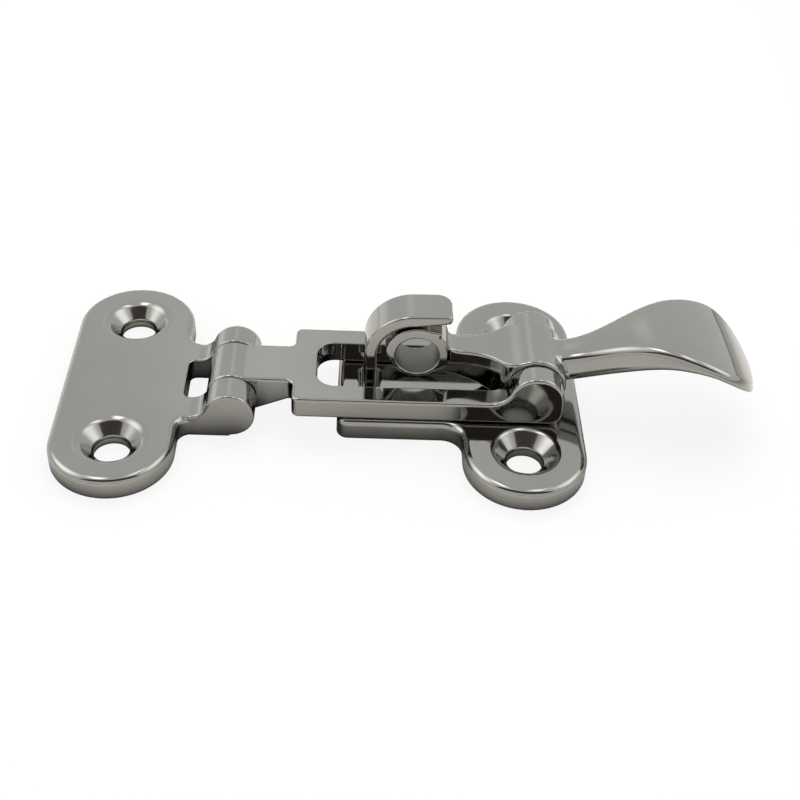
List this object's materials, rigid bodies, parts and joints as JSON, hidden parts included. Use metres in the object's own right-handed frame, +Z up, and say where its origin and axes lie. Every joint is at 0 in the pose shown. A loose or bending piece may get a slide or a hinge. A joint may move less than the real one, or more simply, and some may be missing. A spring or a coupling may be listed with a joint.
{
  "type": "hold-down clamp",
  "caption": "Polished stainless over-centre hold-down clamp: a spoon-shaped lever on a hinged link hooks its nose under a cast hook, and a padlock hole locks it.",
  "frame": {"origin": "centre of the base plate's two screw holes, on the mounting plane under the plates", "axes": "+X along the clamp from the hinge plate to the handle's tip, +Y across the clamp along the screw plates, +Z up from the mounting plane"},
  "size_m": [0.1005, 0.044, 0.0182],
  "materials": {
    "polished_castings": "cast stainless steel, mirror polished, slightly warm grey",
    "turned_pins": "turned stainless steel rod, ends ground flush and polished"
  },
  "bodies": {
    "plates": {"base_plate": "polished_castings", "hinge_plate": "polished_castings", "hinge_pin": "turned_pins"},
    "link": {"link": "polished_castings", "lever_pin": "turned_pins"},
    "lever": {"lever": "polished_castings"}
  },
  "joints": [
    {"name": "link_hinge", "type": "hinge", "parent": "plates", "child": "link", "pos_m": [-0.0419, 0, 0.00385], "axis": [0, -1, 0], "range_deg": [0, 66]},
    {"name": "lever_pivot", "type": "hinge", "parent": "link", "child": "lever", "pos_m": [0.0015, 0, 0.00785], "axis": [0, -1, 0], "range_deg": [0, 150]}
  ],
  "couplings": [
    {"joint": "link_hinge", "follows": "lever_pivot", "ratio": 0.44}
  ]
}
